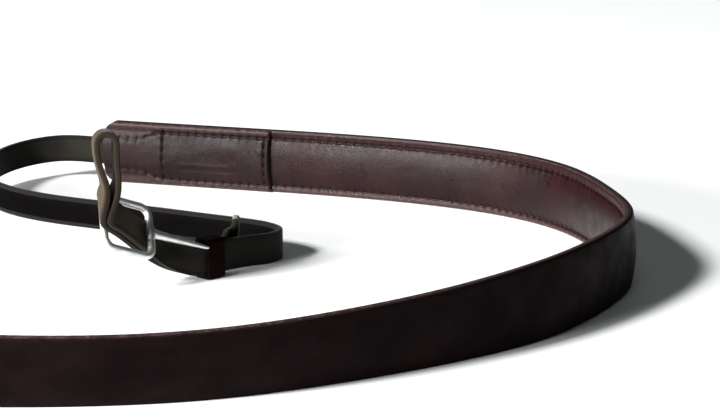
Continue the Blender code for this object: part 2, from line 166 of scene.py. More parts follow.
# Routes in plan: across is a share of SPAN, deep of DEPTH, lean is in degrees, and low is how much of the
# band's free height a narrow strap is still raised by.
BAND_ROUTE = [
    # across, deep, lean
    (0.019, 0.515, 0),
    (0.090, 0.483, 0),
    (0.183, 0.442, 0),
    (0.269, 0.400, 0),
    (0.344, 0.351, 0),
    (0.402, 0.294, 0),
    (0.451, 0.205, 0),
    (0.478, 0.080, 0),
    (0.485, -0.050, 0),
    (0.454, -0.164, 0),
    (0.408, -0.261, 1),
    (0.340, -0.343, 12),
    (0.260, -0.411, 21),
    (0.150, -0.473, 27),
    (0.029, -0.489, 26),
    (-0.088, -0.480, 18),
    (-0.207, -0.451, 7),
    (-0.310, -0.392, 0),
]
STRAP_ROUTE_A = [
    # across, deep, low
    (-0.031, 0.533, 0.95),
    (-0.074, 0.494, 0.72),
    (-0.089, 0.422, 0.45),
    (-0.080, 0.350, 0.20),
    (-0.043, 0.287, 0.04),
    (0.021, 0.231, 0.0),
    (0.083, 0.188, 0.0),
    (0.133, 0.150, 0.0),
    (0.164, 0.127, 0.0),
    (0.188, 0.105, 0.0),
    (0.201, 0.075, 0.0),
    (0.195, 0.048, 0.03),
    (0.177, 0.023, 0.12),
]
STRAP_ROUTE_B = [
    # across, deep, low
    (-0.374, -0.345, 0.85),
    (-0.436, -0.270, 0.55),
    (-0.483, -0.172, 0.25),
    (-0.500, -0.058, 0.05),
    (-0.479, 0.041, 0.0),
    (-0.429, 0.097, 0.0),
    (-0.383, 0.084, 0.03),
    (-0.354, 0.045, 0.12),
]
# Each keeper's place across and deep, and its heading in degrees.
KEEPER_A = (0.148, -0.019, -133.0)
KEEPER_B = (-0.324, 0.003, -47.0)
# The end loop's and the tail's routes, in shares of LOOP_RISE and TAIL_LENGTH. The roll is in degrees.
LOOP_ROUTE = [
    # along, front, up, roll
    (0.905, -0.060, 0.66, 68),
    (0.880, -0.075, 0.86, 84),
    (0.872, -0.085, 1.00, 90),
]
TAIL_ROUTE = [
    # on, off, lift
    (0.30, 0.02, 0.01),
    (0.60, 0.14, 0.10),
    (1.00, 0.42, 0.26),
]


def plan(across, deep, height=0.0):
    return (across * SPAN + SHIFT[0], deep * DEPTH + SHIFT[1], height)


def spline(rows, step=SPAN / 840):
    """Points along the natural cubic curve through the rows, whose first three columns are a place."""
    rows = np.array(rows, float)
    gaps = np.linalg.norm(np.diff(rows[:, :3], axis=0), axis=1)
    count = len(rows)
    left = np.zeros((count, count))
    right = np.zeros_like(rows)
    left[0, 0] = left[-1, -1] = 1
    for i in range(1, count - 1):
        left[i, i - 1 : i + 2] = gaps[i - 1], 2 * (gaps[i - 1] + gaps[i]), gaps[i]
        right[i] = 6 * ((rows[i + 1] - rows[i]) / gaps[i] - (rows[i] - rows[i - 1]) / gaps[i - 1])
    bend = np.linalg.solve(left, right)
    out = []
    for i, gap in enumerate(gaps):
        steps = max(2, math.ceil(gap / step))
        for k in range(steps + (i == count - 2)):
            b = k / steps
            a = 1 - b
            curve = ((a**3 - a) * bend[i] + (b**3 - b) * bend[i + 1]) * gap * gap / 6
            out.append(a * rows[i] + b * rows[i + 1] + curve)
    return np.array(out)


def unit(vectors):
    return vectors / np.linalg.norm(vectors, axis=-1, keepdims=True)


def directions(points):
    return unit(np.gradient(points[:, :3], axis=0))


def along(points):
    return np.concatenate([[0], np.cumsum(np.linalg.norm(np.diff(points[:, :3], axis=0), axis=1))])


def bell(distance, half):
    """1 at no distance, falling away on both sides within about the half width."""
    return np.exp(-((distance / half) ** 2))


def share_of(value, whole):
    """How much of the whole a value is, kept from 0 to 1."""
    return np.clip(value / whole, 0, 1)


def smooth(share):
    """A share from 0 to 1, eased so that it starts and ends level."""
    return share * share * (3 - 2 * share)


def ripple(u, v, size_u, size_v, seed):
    """Smooth noise from -1 to 1 over a flat sheet, in cells of size_u by size_v."""
    wide = 256
    start = 2 * wide + 0.5
    cells = np.random.default_rng(seed).uniform(-1, 1, (wide, wide))
    x, y = np.broadcast_arrays(np.asarray(u) / size_u + start, np.asarray(v) / size_v + start)
    i, j = np.floor(x).astype(int), np.floor(y).astype(int)
    a, b = smooth(x - i), smooth(y - j)
    i, j, next_i, next_j = i % wide, j % wide, (i + 1) % wide, (j + 1) % wide
    near = cells[i, j] * (1 - a) + cells[next_i, j] * a
    far = cells[i, next_j] * (1 - a) + cells[next_i, next_j] * a
    return near * (1 - b) + far * b


def waves(u, v, table):
    """The unevenness of a leather, from a table of heights, cell sizes and seeds."""
    return sum(high * ripple(u, v, size_u, size_v, seed) for high, size_u, size_v, seed in table)


def spread(lengths, rows):
    """The lengths down the rows of a grid, one value all across each row."""
    return np.broadcast_to(lengths[:, None], rows.shape)


def placed(name, data):
    """A new object of this data, in the scene."""
    obj = bpy.data.objects.new(name, data)
    bpy.context.scene.collection.objects.link(obj)
    return obj


def clean_up(mesh, apart=0.0):
    """Joins the points of a mesh that lie closer than apart, and turns its faces outward."""
    shell = bmesh.new()
    shell.from_mesh(mesh)
    if apart:
        bmesh.ops.remove_doubles(shell, verts=shell.verts, dist=apart)
    bmesh.ops.recalc_face_normals(shell, faces=shell.faces)
    shell.to_mesh(mesh)
    shell.free()


def grid_mesh(name, points, uv, slots, materials, capped=True):
    """A tube of quads through the grid of points: rows run along it, columns go round it.

    slots gives the material of each column, or of each face, and uv has a pair for each point."""
    rows, columns = points.shape[:2]
    mesh = bpy.data.meshes.new(name)
    index = np.arange(rows * columns).reshape(rows, columns)
    a = index[:-1, :]
    b = np.roll(index, -1, axis=1)[:-1, :]
    c = np.roll(index, -1, axis=1)[1:, :]
    d = index[1:, :]
    faces = np.stack([a, b, c, d], axis=-1).reshape(-1, 4).tolist()
    slots = np.broadcast_to(np.array(slots), (rows - 1, columns))
    face_slots = slots.reshape(-1).tolist()
    if capped:
        faces += [index[0, ::-1].tolist(), index[-1].tolist()]
        face_slots += [int(slots[0, 0]), int(slots[-1, 0])]
    mesh.from_pydata(points.reshape(-1, 3).tolist(), [], faces)
    layer = mesh.uv_layers.new(name="uv")
    flat = uv.reshape(-1, 2)
    corner = np.empty(len(mesh.loops), dtype=np.int64)
    mesh.loops.foreach_get("vertex_index", corner)
    layer.data.foreach_set("uv", flat[corner].astype(np.float32).reshape(-1))
    for made in materials:
        mesh.materials.append(made)
    mesh.polygons.foreach_set("material_index", face_slots)
    clean_up(mesh)
    mesh.shade_smooth()
    mesh.set_sharp_from_angle(angle=SHARP_ANGLE)
    return placed(name, mesh)


class Path:
    """A strip's middle line with its upper and outer directions, read at any length along it."""

    def __init__(self, points, uppers):
        self.points = points[:, :3]
        self.ahead = directions(points)
        self.runs = along(points)
        self.uppers = uppers
        self.length = float(self.runs[-1])

    def at(self, lengths):
        """The places at these lengths, with their upper and outer directions."""
        lengths = np.asarray(lengths, float)

        def read(table):
            return np.stack([np.interp(lengths, self.runs, table[:, k]) for k in range(3)], -1)

        run = unit(read(self.ahead))
        up = read(self.uppers)
        up = unit(up - run * (up * run).sum(-1, keepdims=True))
        return read(self.points), up, np.cross(up, run)

    def surface(self, lengths, outs, heights):
        """Points at these lengths, so far out of the strip and so far up it."""
        place, up, out = self.at(lengths)
        made = place + out * np.asarray(outs)[..., None] + up * np.asarray(heights)[..., None]
        made[..., 2] = np.maximum(made[..., 2], 0.0)
        return made


def band_path():
    rows = [(*plan(across, deep), lean) for across, deep, lean in BAND_ROUTE]
    points = spline(rows)
    ahead = directions(points)
    tip = np.radians(points[:, 3])
    outward = np.stack([-ahead[:, 1], ahead[:, 0], np.zeros(len(ahead))], axis=1)
    uppers = outward * np.sin(tip)[:, None] + np.array([0, 0, 1.0]) * np.cos(tip)[:, None]
    return Path(points, uppers)


def end_trim(lengths, total):
    """How much narrower each edge of the band is near its rounded ends."""
    left = END_RADIUS - np.minimum(np.minimum(lengths, total - lengths), END_RADIUS)
    return END_RADIUS - np.sqrt(np.maximum(END_RADIUS**2 - left**2, 0))


def fine_lengths(start, stop, step, total):
    """Lengths from start to stop, closer together round the band's rounded ends."""
    lengths = list(np.linspace(start, stop, max(2, round((stop - start) / step) + 1)))
    for turn in np.linspace(0, math.pi / 2, 10):
        near = END_RADIUS * (1 - math.cos(turn))
        lengths += [x for x in (near, total - near) if start <= x <= stop]
    return np.unique(np.round(lengths, 7))


def lining_thickness(height):
    """The plain thickness of the lining at a height across the band."""
    from_edge = np.minimum(height, BAND_WIDTH - height) - EDGE_INSET
    share = share_of(height - MARGIN, BAND_WIDTH - 2 * MARGIN)
    crown = PAD_RISE * (1 - np.abs(2 * share - 1) ** CROWN_POWER)
    edge = THIN_EDGE + (1 - THIN_EDGE) * share_of(from_edge, MARGIN * 0.3)
    return LINING_THICK * edge + crown


def stitch_marks(length, height, lines):
    """How far the leather is drawn in at each line of stitches, and puckered beside it."""
    groove = np.zeros(np.broadcast(length, height).shape)
    for line in lines:
        groove = groove + seam(length, height - line)
    return groove


def seam(along_row, off):
    """The groove and puckers of one row of stitches, at a place along the row and a distance off it."""
    uneven = 1 + 0.45 * ripple(along_row, off, 0.0052, 0.004, 7)
    hole = np.abs(np.cos(math.pi * along_row / STITCH_PITCH)) ** 5
    groove = -GROOVE_DEEP * bell(off, GROOVE_HALF) * (0.62 + 0.60 * hole)
    drawn = PUCKER_HIGH * uneven * (0.45 - hole) * np.exp(-np.abs(off) / PUCKER_REACH)
    return groove + drawn * (1 - bell(off, 0.0004))


def lining_surface(length, height):
    """The finished thickness of the lining: its crown, stitch lines, puckers and slow unevenness."""
    edge = np.minimum(height, BAND_WIDTH - height)
    ridge = RIDGE_HIGH * bell(edge - RIDGE_IN, RIDGE_HALF)
    seams = stitch_marks(length, height, (STITCH_LOW, STITCH_HIGH))
    uneven = share_of(edge - MARGIN, 0.003) * waves(length, height, LINING_WAVES)
    return lining_thickness(height) + ridge + seams + uneven


def height_rows():
    """Heights across the band, closer together at its edges and stitch lines."""
    edge = np.linspace(EDGE_INSET, 0.0012, 4)
    seam_rows = np.linspace(0.0019, 0.0052, 11)
    face = np.linspace(0.0060, BAND_WIDTH / 2, 8)
    half = np.concatenate([edge, seam_rows, face])
    return np.concatenate([half, (BAND_WIDTH - half)[-2::-1]])


def clamp_rows(heights, trims, apart=0.00004):
    """Each section's own heights, kept inside its trimmed edges and in order."""
    order = np.arange(len(heights))
    low = trims[:, None] + EDGE_INSET + order * apart
    high = BAND_WIDTH - EDGE_INSET - trims[:, None] - (len(heights) - 1 - order) * apart
    return np.minimum(np.maximum(heights[None, :], low), high)


def outer_band(band, materials):
    """The smooth outer leather, proud over its padding, with its long edges turned in all round."""
    lengths = fine_lengths(0, band.length, 0.0025, band.length)
    trims = end_trim(lengths, band.length)
    turns = np.linspace(0, math.pi / 2, 6)
    rounds = EDGE_TURN * (1 - np.cos(turns))
    middle = np.linspace(0.0022, BAND_WIDTH - 0.0022, 13)
    half = np.concatenate([rounds, middle[:6]])
    heights = np.concatenate([half, middle[6:7], BAND_WIDTH - half[::-1]])
    turned = EDGE_TURN * (1 - np.sin(turns))
    pulled = np.concatenate([turned, np.zeros(len(middle)), turned[::-1]])
    rows = np.clip(heights[None, :], trims[:, None], BAND_WIDTH - trims[:, None])
    wide = spread(lengths, rows)
    crown = OUTER_THICK + OUTER_RISE * (1 - (2 * rows / BAND_WIDTH - 1) ** 2)
    inside = share_of(np.minimum(rows, BAND_WIDTH - rows), WAVE_IN)
    outs = crown - pulled + inside * waves(wide, rows, OUTER_WAVES)
    back = np.zeros((len(lengths), 1))
    outs = np.concatenate([back, outs, back], axis=1)
    set_in = 0.0004
    rows = np.concatenate([rows[:, :1] + set_in, rows, rows[:, -1:] - set_in], axis=1)
    wide = spread(lengths, rows)
    points = band.surface(wide, outs, rows)
    slots = [1, 1] + [0] * (rows.shape[1] - 5) + [1, 1, 1]
    return grid_mesh("outer_leather_band", points, np.stack([wide, rows], -1), slots, materials)


def lining_band(band, materials):
    """The padded lining, crowned between its two rows of stitches."""
    lengths = fine_lengths(0, band.length, STITCH_PITCH / 6, band.length)
    rows = clamp_rows(height_rows(), end_trim(lengths, band.length))
    wide = spread(lengths, rows)
    outs = -FIT - lining_surface(wide, rows)
    back = np.full((len(lengths), 1), -0.00002)
    outs = np.concatenate([back, outs, back], axis=1)
    rows = np.concatenate([rows[:, :1], rows, rows[:, -1:]], axis=1)
    wide = spread(lengths, rows)
    points = band.surface(wide, outs, rows)
    uv = np.stack([wide, rows], -1)
    slots = [1, 1] + [0] * (rows.shape[1] - 5) + [1, 1, 1]
    made = grid_mesh("padded_lining", points, uv, slots, materials)
    return made


class Patch:
    """The folded patch over one end of the lining. side is +1 where the band's end is at length 0."""

    def __init__(self, band, side):
        self.band = band
        self.side = side

    def length(self, into):
        """A length along the band from how far into the patch a place is, from the band's end."""
        return into if self.side > 0 else self.band.length - into

    def row_lines(self, into):
        """The heights of the patch's two long rows, which close in on the narrow strap's root."""
        closing = ROWS_CLOSE * smooth(share_of(PATCH_LENGTH - PATCH_CROSS - into, ROWS_CLOSE_OVER))
        return STITCH_LOW + closing, STITCH_HIGH - closing

    def lift(self, into, height):
        """How far the patch's face stands inside the outer leather."""
        into, height = np.broadcast_arrays(into, height)
        from_fold = PATCH_LENGTH - into
        edge = np.minimum(height, BAND_WIDTH - height)
        left = np.clip(from_fold, 0, FOLD_RADIUS)
        thick = PATCH_THICK * np.sqrt(np.maximum(1 - (1 - left / FOLD_RADIUS) ** 2, 0))
        thick = thick + LIP_HIGH * bell(from_fold - LIP_IN, LIP_HALF)
        thick = thick - EDGE_DROP * (1 - share_of(edge - EDGE_INSET, EDGE_DROP_WIDE)) ** 2
        puckers = stitch_marks(into, height, self.row_lines(into))
        inside = share_of(edge - STITCH_LOW, 0.001)
        for line in (PATCH_LENGTH - PATCH_ROW, PATCH_LENGTH - PATCH_CROSS):
            puckers = puckers + inside * seam(height, into - line)
        face = thick + puckers + self.wrinkles(into, height) * share_of(edge - MARGIN, 0.003)
        return PATCH_BASE + lining_thickness(height) + np.maximum(face, 0.00004)

    def wrinkles(self, into, height):
        """The patch's slow waves, its long crease, and the slanting wrinkles at the corners of its fold."""
        corner = bell(into - PATCH_LENGTH + CORNER_REACH, CORNER_REACH)
        slant = np.cos(2 * math.pi * (into + 0.7 * height) / 0.0032)
        crease = bell(height - 0.0092, 0.0006) - 0.8 * bell(height - 0.0080, 0.0007)
        reach = share_of(into - 0.032, 0.004) * share_of(0.060 - into, 0.006)
        marks = CORNER_HIGH * corner * slant + CREASE_HIGH * crease * reach
        return waves(into, height, PATCH_WAVES) + marks

    def straight_levels(self, into, heights):
        """Heights as if the two long rows ran straight, so that the material finds the stitches."""
        low, high = self.row_lines(into)
        lower = np.where(heights < low, heights * STITCH_LOW / low, heights - low + STITCH_LOW)
        past = (heights - high) * (BAND_WIDTH - STITCH_HIGH) / (BAND_WIDTH - high)
        upper = STITCH_HIGH + np.where(heights > high, past, heights - high)
        return np.where(heights > BAND_WIDTH / 2, upper, lower)

    def solid(self, name, materials):
        intos = fine_lengths(0, PATCH_LENGTH, STITCH_PITCH / 9, self.band.length)
        fold = PATCH_LENGTH - FOLD_RADIUS * (1 - np.cos(np.linspace(0, math.pi / 2, 7)))
        intos = np.unique(np.concatenate([intos, fold]))
        rows = clamp_rows(height_rows(), end_trim(intos, self.band.length))
        wide = spread(intos, rows)
        face = -self.lift(wide, rows)
        under = PATCH_LET_DOWN - PATCH_BASE - lining_thickness(rows)
        outs = np.concatenate([face, under[:, ::-1]], axis=1)
        heights = np.concatenate([rows, rows[:, ::-1]], axis=1)
        wide = spread(intos, heights)
        points = self.band.surface(self.length(wide), outs, heights)
        slots = [1, 1, 1] + [0] * (rows.shape[1] - 7) + [1] * 4 + [1] * rows.shape[1]
        uv = np.stack([wide, self.straight_levels(wide, heights)], -1)
        return grid_mesh(name, points, uv, slots, materials)


def threads(name, starts, ends, surface, material):
    """Short stitches from each start to each end, pairs of numbers that surface turns into places."""
    shares = np.linspace(0, 1, 7)
    sides = 7
    starts, ends = np.asarray(starts, float), np.asarray(ends, float)
    line = starts[:, None, :] + (ends - starts)[:, None, :] * shares[None, :, None]
    raised = THREAD_SUNK * (np.sin(math.pi * shares) ** 0.6 - 1)
    centre = surface(line[..., 0], line[..., 1], np.broadcast_to(raised, line.shape[:2]))
    outer = surface(line[..., 0], line[..., 1], np.broadcast_to(raised + 0.001, line.shape[:2]))
    run = unit(np.gradient(centre, axis=1))
    normal = unit(outer - centre)
    across = unit(np.cross(run, normal))
    normal = np.cross(across, run)
    radius = THREAD_RADIUS * np.maximum(np.sin(math.pi * shares) ** 0.35, 0.25)
    turns = np.linspace(0, 2 * math.pi, sides, endpoint=False)
    ring = across[:, :, None, :] * np.cos(turns)[None, None, :, None]
    ring = ring + normal[:, :, None, :] * np.sin(turns)[None, None, :, None]
    points = centre[:, :, None, :] + ring * radius[None, :, None, None]
    index = np.arange(points[..., 0].size).reshape(points.shape[:3])
    a, b = index[:, :-1], index[:, 1:]
    faces = np.stack([a, np.roll(a, -1, axis=2), np.roll(b, -1, axis=2), b], axis=-1).reshape(-1, 4).tolist()
    faces += index[:, 0, ::-1].tolist() + index[:, -1].tolist()
    mesh = bpy.data.meshes.new(name)
    mesh.from_pydata(points.reshape(-1, 3).tolist(), [], faces)
    clean_up(mesh)
    mesh.materials.append(material)
    mesh.shade_smooth()
    return placed(name, mesh)


def stitch_row(start, stop, height, slant=0.0):
    """Pairs for one row of stitches along the band at one height."""
    beats = np.arange(math.ceil(start / STITCH_PITCH), math.floor(stop / STITCH_PITCH))
    firsts = STITCH_PITCH * (beats + 0.5) - STITCH_LONG / 2
    count = len(firsts)
    begins = np.stack([firsts, np.full(count, height - slant)], -1)
    ends = np.stack([firsts + STITCH_LONG, np.full(count, height + slant)], -1)
    return begins, ends


def cross_row(into, low, high):
    """Pairs for one row of stitches across the band."""
    beats = np.arange(math.floor(low / STITCH_PITCH), math.floor(high / STITCH_PITCH) + 1)
    firsts = STITCH_PITCH * (beats + 0.5) - STITCH_LONG / 2
    kept = firsts[(firsts > low - 0.0004) & (firsts + STITCH_LONG < high + 0.0004)]
    begins = np.stack([np.full(len(kept), into), kept], -1)
    ends = np.stack([np.full(len(kept), into), kept + STITCH_LONG], -1)
    return begins, ends


def band_stitches(band, thread):
    """The two rows along the lining between the patches."""

    def face(length, height, lift):
        return band.surface(length, -FIT - lining_surface(length, height) - lift, height)

    start, stop = PATCH_LENGTH + 0.001, band.length - PATCH_LENGTH - 0.001
    rows = [stitch_row(start, stop, height, STITCH_SLANT) for height in (STITCH_LOW, STITCH_HIGH)]
    begins, ends = (np.concatenate([row[k] for row in rows]) for k in (0, 1))
    return threads("lining_stitches", begins, ends, face, thread)


def patch_stitches(patch, name, thread):
    """The rows round a patch and across it."""
    begins, ends = stitch_row(0.003, PATCH_LENGTH - 0.001, 0.0)
    pairs = []
    slant = np.array([0, STITCH_SLANT])
    for first, last in zip(patch.row_lines(begins[:, 0]), patch.row_lines(ends[:, 0])):
        pairs.append((begins + np.outer(first, (0, 1)) - slant, ends + np.outer(last, (0, 1)) + slant))
    pairs.append(cross_row(PATCH_LENGTH - PATCH_ROW, STITCH_LOW, STITCH_HIGH))
    pairs.append(cross_row(PATCH_LENGTH - PATCH_CROSS, STITCH_LOW, STITCH_HIGH))
    begins, ends = (np.concatenate([pair[k] for pair in pairs]) for k in (0, 1))

    def face(into, height, lift):
        return patch.band.surface(patch.length(into), -patch.lift(into, height) - lift, height)

    return threads(name, begins, ends, face, thread)


class Strap:
    """A narrow strap's path from its root in the band to its tail's tip, with its buckle and keeper."""

    def __init__(self, band, end, route, keeper, side):
        self.side = side
        across, deep, heading = keeper
        self.keeper = Vector(plan(across, deep, KEEPER_THICK + FIT + STRAP_WIDTH / 2))
        turn = math.radians(heading)
        self.run = Vector((math.cos(turn), math.sin(turn), 0))
        self.front = Vector((-self.run.y, self.run.x, 0)) * side
        self.pitch = STRAP_THICK + FIT
        self.place_buckle()
        self.lay(band, end, route)

    def local(self, along_run, to_front, up):
        return self.keeper + self.run * along_run + self.front * to_front + Vector((0, 0, up))

    def place_buckle(self):
        yaw, pitch, roll = (math.radians(a) for a in (BUCKLE_YAW, BUCKLE_PITCH, BUCKLE_ROLL))
        ahead = self.run * math.cos(yaw) + self.front * math.sin(yaw)
        ahead = ahead * math.cos(pitch) + Vector((0, 0, math.sin(pitch)))
        upright = (Vector((0, 0, 1)) - ahead * ahead.z).normalized()
        face = (self.front - ahead * self.front.dot(ahead) - upright * self.front.dot(upright)).normalized()
        self.buckle_ahead = ahead
        self.buckle_up = upright * math.cos(roll) - face * math.sin(roll)
        self.buckle_face = face * math.cos(roll) + upright * math.sin(roll)
        clear = WIRE / 2 + 2.5 * FIT
        near = KEEPER_LENGTH / 2 + FIT + TONGUE_REACH
        self.bar = self.local(near * math.cos(yaw), near * math.sin(yaw), BUCKLE_LIFT)
        self.behind_bar = self.bar - self.buckle_face * (STRAP_THICK / 2 + clear)
        far_bar = self.bar + ahead * BUCKLE_LONG
        self.past_bar = far_bar + self.buckle_face * (self.pitch + STRAP_THICK / 2 + clear)
        self.crossing = (self.past_bar - self.behind_bar).normalized()

    def root_rows(self, band, end):
        """The strap's first places, between the outer leather and the patch."""
        inward = np.linspace(ROOT_LENGTH - FIT, 0, 5)
        lengths = inward if end == "a" else band.length - inward
        middle = FIT + STRAP_THICK / 2
        place, up, out = band.at(lengths)
        places = place - out * middle + up * BAND_WIDTH / 2
        return [(*p, *u) for p, u in zip(places, up)]

    def lay(self, band, end, route):
        rows = self.root_rows(band, end)
        lift = (BAND_WIDTH - STRAP_WIDTH) / 2
        for across, deep, low in route:
            rows.append((*plan(across, deep, low * lift + STRAP_WIDTH / 2), 0, 0, 1))
        for share in (-0.6, 0.0, 0.6):
            rows.append((*(self.keeper + self.run * share * KEEPER_LENGTH), 0, 0, 1))
        for bar in (self.behind_bar, self.past_bar):
            for share in (-0.5, 0.5):
                rows.append((*(bar + self.crossing * share * WIRE), *self.buckle_up))
        for along_run, to_front, up, roll in LOOP_ROUTE:
            place = self.local(along_run * LOOP_RISE, to_front * LOOP_RISE, up * LOOP_RISE)
            rows.append((*place, *self.loop_up(roll)))
        path = spline(rows)
        runs = along(path)
        keeper_at = runs[np.linalg.norm(path[:, :3] - np.array(self.keeper), axis=1).argmin()]
        buckle_at = runs[np.linalg.norm(path[:, :3] - np.array(self.past_bar), axis=1).argmin()]
        self.fold(path, runs, keeper_at, buckle_at)

    def loop_up(self, roll):
        back = (self.buckle_up - Vector((0, 0, self.buckle_up.z))).normalized()
        turn = math.radians(roll)
        return Vector((0, 0, 1)) * math.cos(turn) + back * math.sin(turn)

    def fold(self, path, runs, keeper_at, buckle_at):
        """Adds the turn over the camera's ring, and the tail back down behind the strap to its tip."""
        ahead = directions(path)
        ups = path[:, 3:6]
        ups = unit(ups - ahead * (ups * ahead).sum(1)[:, None])
        fronts = np.cross(ups, ahead) * self.side
        total = runs[-1]
        apart = LOOP_BORE + STRAP_THICK
        radius = apart / 2
        centre = path[-1, :3] - fronts[-1] * radius
        places, uppers = [path[:, :3]], [ups]
        for angle in np.linspace(0, math.pi, 25)[1:-1]:
            turned = fronts[-1] * math.cos(angle) + ahead[-1] * math.sin(angle)
            places.append([centre + turned * radius])
            uppers.append([ups[-1]])
        tip_at = keeper_at - TAIL_LENGTH
        tail = [i for i in range(len(runs) - 1, -1, -1) if runs[i] >= tip_at]
        off_runs = [tip_at] + [keeper_at - on * TAIL_LENGTH for on, _, _ in TAIL_ROUTE[-2::-1]]
        off_gaps = [self.pitch + off * TAIL_LENGTH for _, off, _ in TAIL_ROUTE[::-1]]
        lifts = [lift * TAIL_LENGTH for _, _, lift in TAIL_ROUTE[::-1]]
        steady = [keeper_at - KEEPER_LENGTH / 2, buckle_at]
        gaps = eased(off_runs + steady + [total], off_gaps + [self.pitch, self.pitch, apart], runs)
        raised = eased(off_runs + steady + [total], lifts + [0, 0, 0], runs)
        places.append([path[i, :3] - fronts[i] * gaps[i] + np.array([0, 0, raised[i]]) for i in tail])
        uppers.append([ups[i] for i in tail])
        self.path = Path(np.concatenate(places), np.concatenate(uppers))

    def solid(self, name, materials):
        """The strap: suede on its flesh side, grain on the other, raw edges and a bluntly cut tail whose tip
        is painted pale, a painted highlight over the cut leather's tone.
        """
        path = self.path
        lengths = np.linspace(0, path.length, round(path.length / 0.0011) + 1)
        tip = path.length - 0.0022 * (1 - np.cos(np.linspace(0, math.pi / 2, 7)))
        lengths = np.unique(np.concatenate([lengths, tip]))
        half, flat, edge = STRAP_WIDTH / 2, STRAP_THICK / 2, STRAP_EDGE
        turns = np.linspace(0, math.pi / 2, 5)
        side = np.stack([flat - edge + edge * np.cos(turns), half - edge + edge * np.sin(turns)], -1)
        face = np.stack([np.full(7, flat), np.linspace(-half + 0.0016, half - 0.0016, 7)], -1)
        outline = np.concatenate([face, side, side[::-1] * (-1, 1), face[::-1] * (-1, 1), side * (-1, -1)])
        outline = np.concatenate([outline, side[::-1] * (1, -1)])
        slots = np.array([0] * 6 + [2] * 11 + [1] * 6 + [2] * 11)
        slots = np.tile(slots, (len(lengths) - 1, 1))
        # The tail's last PALE_TIP is painted pale: a painted highlight over the cut leather's tone.
        slots[lengths[:-1] > path.length - PALE_TIP] = 3
        left = share_of(path.length - lengths, BLUNT_TIP)
        taper = 0.55 + 0.45 * np.sqrt(1 - (1 - left) ** 2)
        outs = np.broadcast_to(outline[None, :, 0], (len(lengths), len(outline)))
        heights = outline[None, :, 1] * taper[:, None]
        wide = spread(lengths, heights)
        from_edge = half - np.abs(heights)
        inside = share_of(from_edge, 0.002) * np.sign(outs)
        pressed = PRESSED_LINE * bell(from_edge - 0.0013, 0.00030) * (outs < 0)
        outs = outs + inside * waves(wide, heights, STRAP_WAVES) + pressed
        points = path.surface(wide, outs, heights)
        return grid_mesh(name, points, np.stack([wide, heights + 0.02], -1), slots, materials)


def eased(at, values, wanted):
    """Values eased from each knot to the next, and level at every knot."""
    out = []
    for x in wanted:
        i = min(max(int(np.searchsorted(at, x)) - 1, 0), len(at) - 2)
        share = smooth(min(max((x - at[i]) / (at[i + 1] - at[i]), 0.0), 1.0))
        out.append(values[i] + (values[i + 1] - values[i]) * share)
    return out


def rounded(half_x, half_y, radius, steps):
    """A rectangle with round corners, about the origin."""
    points = []
    for x, y, start in ((1, 1, 0), (-1, 1, 90), (-1, -1, 180), (1, -1, 270)):
        for turn in np.radians(start + np.linspace(0, 90, steps)):
            round_x, round_y = radius * math.cos(turn), radius * math.sin(turn)
            points.append((x * (half_x - radius) + round_x, y * (half_y - radius) + round_y))
    return np.array(points)


def keeper(strap, name, material):
    """A leather sleeve round both layers of the strap, with its long edges turned over a little."""
    thick_half = (2 * STRAP_THICK + FIT) / 2 + FIT
    middle = -(STRAP_THICK + FIT) / 2
    half = STRAP_WIDTH / 2 + FIT
    rings = []
    wall = KEEPER_THICK
    rim = 0.45 * wall
    half_long = KEEPER_LENGTH / 2
    section = []
    for turn in np.linspace(-math.pi / 2, math.pi / 2, 7):
        section.append((half_long - rim + rim * math.cos(turn), wall / 2 + (wall / 2) * math.sin(turn)))
    section = section + [(-x, y) for x, y in section[::-1]]
    for x, grow in section:
        outline = rounded(thick_half + grow, half + grow, 0.0004 + 0.8 * grow, 6)
        points = []
        for a, b in outline:
            place = strap.keeper + strap.run * x + strap.front * (middle + a) + Vector((0, 0, b))
            points.append((place.x, place.y, max(place.z, 0.0)))
        rings.append(points)
    rings.append(rings[0])
    points = np.array(rings)
    count = points.shape[1]
    lengths = np.array([x for x, _ in section] + [section[0][0]])
    uv = np.stack(np.broadcast_arrays(lengths[:, None], np.linspace(0, 0.04, count)), -1)
    made = grid_mesh(name, points, uv, [0] * count, [material], capped=False)
    clean_up(made.data, apart=1e-6)
    return made


def add_tube(mesh, centres, radii, closed=False, sides=20):
    """A round tube along a line of centres, which joins up with itself where it is closed."""
    count = len(centres)
    guide = None
    rows = []
    for i, centre in enumerate(centres):
        before = centres[i - 1] if closed or i else centre
        after = centres[(i + 1) % count] if closed or i < count - 1 else centre
        run = (after - before).normalized()
        if guide is None:
            guide = run.orthogonal()
        guide = (guide - run * guide.dot(run)).normalized()
        other = run.cross(guide)
        turns = [2 * math.pi * k / sides for k in range(sides)]
        ring = [centre + (guide * math.cos(t) + other * math.sin(t)) * radii[i] for t in turns]
        rows.append([mesh.verts.new(place) for place in ring])
    if closed:
        rows.append(rows[0])
    else:
        mesh.faces.new(rows[0][::-1])
        mesh.faces.new(rows[-1])
    for first, second in zip(rows, rows[1:]):
        for i in range(sides):
            j = (i + 1) % sides
            mesh.faces.new((first[i], first[j], second[j], second[i]))


